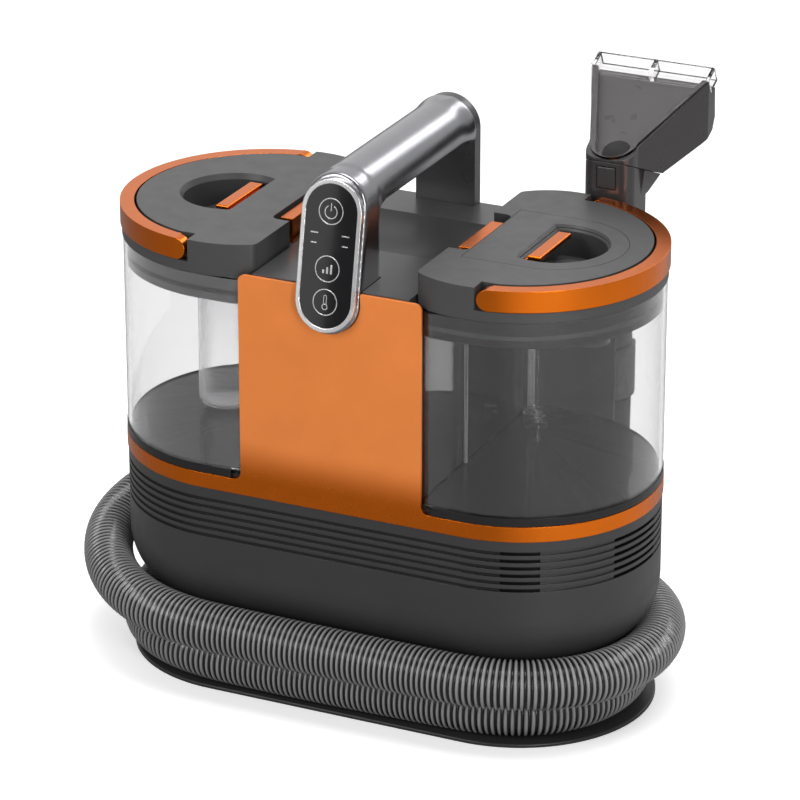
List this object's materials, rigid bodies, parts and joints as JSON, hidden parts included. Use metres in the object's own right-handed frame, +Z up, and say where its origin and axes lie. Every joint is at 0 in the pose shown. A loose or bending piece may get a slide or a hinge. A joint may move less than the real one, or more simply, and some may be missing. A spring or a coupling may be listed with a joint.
{
  "type": "carpet cleaner machine",
  "caption": "Portable spot carpet cleaner with clear clean and dirty water tanks, a carrying handle with touch panel, a docked hand tool and a corrugated hose wound round its waist.",
  "frame": {"origin": "on the floor, at the middle of the foot's underside", "axes": "+Z up, +X to the end with the dirty water tank, -Y to the front with the touch panel"},
  "size_m": [0.4084, 0.2933, 0.3692],
  "materials": {
    "dark_body": "satin moulded dark grey plastic",
    "lid_grey": "fine matt grey plastic",
    "orange": "satin metallic orange lacquer",
    "silver": "brushed satin silver",
    "bezel": "bright silver",
    "black_glass": "gloss black touch panel",
    "post_grey": "satin dark grey",
    "clear": "clear moulded plastic",
    "rubber": "soft black rubber",
    "tool_dark": "satin dark grey",
    "hose_grey": "semi-gloss corrugated grey hose",
    "steel": "zinc plated",
    "inner_black": "moulded black plastic",
    "motor_metal": "painted steel can",
    "board_green": "circuit board",
    "float_white": "white foam float"
  },
  "bodies": {
    "root": {"base_foot": "dark_body", "rubber_feet": "rubber", "case_screws": "steel", "waist_wall": "dark_body", "hose_port": "dark_body", "lower_housing": "dark_body", "vent_filter": "inner_black", "orange_shell": "orange", "tank_tray": "dark_body", "core_column": "dark_body", "rear_cover": "dark_body", "power_inlet": "inner_black", "top_deck": "lid_grey", "handle_grip": "silver", "handle_rear_post": "post_grey", "display_bezel": "bezel", "display_glass": "black_glass", "touch_board": "board_green", "vacuum_motor": "motor_metal", "fan_housing": "inner_black", "suction_duct": "inner_black", "motor_mounts": "rubber", "water_pump": "inner_black", "water_heater": "motor_metal", "pump_tube": "inner_black", "power_board": "board_green", "tool_dock": "dark_body", "hose": "hose_grey"},
    "clean_tank": {"clean_tank": "clear", "clean_tank_base": "dark_body", "clean_valve_spring": "steel"},
    "clean_valve": {"clean_valve_plunger": "inner_black"},
    "clean_lid": {"clean_lid": "lid_grey", "clean_lid_seal": "rubber", "clean_bail_pins": "steel"},
    "clean_bail": {"clean_bail": "orange"},
    "clean_lever": {"clean_lever": "orange"},
    "clean_latch": {"clean_latch": "orange"},
    "dirty_tank": {"dirty_tank": "clear", "dirty_tank_base": "dark_body", "dirty_valve_spring": "steel"},
    "dirty_valve": {"dirty_valve_plunger": "inner_black"},
    "dirty_lid": {"dirty_lid": "lid_grey", "dirty_lid_seal": "rubber", "dirty_lid_inlay": "lid_grey", "dirty_bail_pins": "steel", "float_cage": "inner_black"},
    "dirty_bail": {"dirty_bail": "orange"},
    "dirty_lever": {"dirty_lever": "orange"},
    "dirty_latch": {"dirty_latch": "orange"},
    "float": {"float_ball": "float_white"},
    "fan": {"fan_impeller": "inner_black"},
    "tool": {"tool_handle": "tool_dark", "hose_cuff": "rubber"},
    "tool_head": {"tool_head": "tool_dark", "tool_clear_cover": "clear", "spray_nozzle": "steel"},
    "tool_button": {"tool_release_button": "tool_dark"},
    "tool_trigger": {"tool_trigger": "tool_dark"}
  },
  "joints": [
    {"name": "clean_tank_lift", "type": "slide", "parent": "root", "child": "clean_tank", "axis": [0, 0, 1], "range_m": [0, 0.16]},
    {"name": "clean_valve_push", "type": "slide", "parent": "clean_tank", "child": "clean_valve", "axis": [0, 0, 1], "range_m": [0, 0.0025], "stiffness_N_per_m": 300, "deforming": ["clean_valve_spring"]},
    {"name": "clean_lid_lift", "type": "slide", "parent": "clean_tank", "child": "clean_lid", "axis": [0, 0, 1], "range_m": [0, 0.05]},
    {"name": "clean_bail_hinge", "type": "hinge", "parent": "clean_lid", "child": "clean_bail", "pos_m": [-0.1045, 0, 0.2968], "axis": [0, 1, 0], "range_deg": [0, 90]},
    {"name": "clean_lever_hinge", "type": "hinge", "parent": "clean_lid", "child": "clean_lever", "pos_m": [-0.0986, 0, 0.2982], "axis": [0, 1, 0], "range_deg": [0, 32], "stiffness_Nm_per_rad": 0.02},
    {"name": "clean_latch_press", "type": "slide", "parent": "clean_lid", "child": "clean_latch", "axis": [-1, 0, 0], "range_m": [0, 0.0016], "stiffness_N_per_m": 400},
    {"name": "dirty_tank_lift", "type": "slide", "parent": "root", "child": "dirty_tank", "axis": [0, 0, 1], "range_m": [0, 0.16]},
    {"name": "dirty_valve_push", "type": "slide", "parent": "dirty_tank", "child": "dirty_valve", "axis": [0, 0, 1], "range_m": [0, 0.0025], "stiffness_N_per_m": 300, "deforming": ["dirty_valve_spring"]},
    {"name": "dirty_lid_lift", "type": "slide", "parent": "dirty_tank", "child": "dirty_lid", "axis": [0, 0, 1], "range_m": [0, 0.05]},
    {"name": "dirty_bail_hinge", "type": "hinge", "parent": "dirty_lid", "child": "dirty_bail", "pos_m": [0.1045, 0, 0.2968], "axis": [0, -1, 0], "range_deg": [0, 90]},
    {"name": "dirty_lever_hinge", "type": "hinge", "parent": "dirty_lid", "child": "dirty_lever", "pos_m": [0.0986, 0, 0.2982], "axis": [0, -1, 0], "range_deg": [0, 32], "stiffness_Nm_per_rad": 0.02},
    {"name": "dirty_latch_press", "type": "slide", "parent": "dirty_lid", "child": "dirty_latch", "axis": [1, 0, 0], "range_m": [0, 0.0016], "stiffness_N_per_m": 400},
    {"name": "float_rise", "type": "slide", "parent": "dirty_lid", "child": "float", "axis": [0, 0, 1], "range_m": [0, 0.022]},
    {"name": "fan_spin", "type": "hinge", "parent": "root", "child": "fan", "pos_m": [0, 0.02, 0.2], "axis": [0, 0, 1], "continuous": true},
    {"name": "tool_pull", "type": "slide", "parent": "root", "child": "tool", "axis": [0, 1, 0], "range_m": [0, 0.036]},
    {"name": "head_release", "type": "slide", "parent": "tool", "child": "tool_head", "axis": [0, 0, 1], "range_m": [0, 0.03]},
    {"name": "head_button_press", "type": "slide", "parent": "tool", "child": "tool_button", "axis": [0, 1, 0], "range_m": [0, 0.0018], "stiffness_N_per_m": 300},
    {"name": "spray_trigger", "type": "hinge", "parent": "tool", "child": "tool_trigger", "pos_m": [0.104, 0.1225, 0.246], "axis": [-1, 0, 0], "range_deg": [0, 4], "stiffness_Nm_per_rad": 0.05}
  ]
}
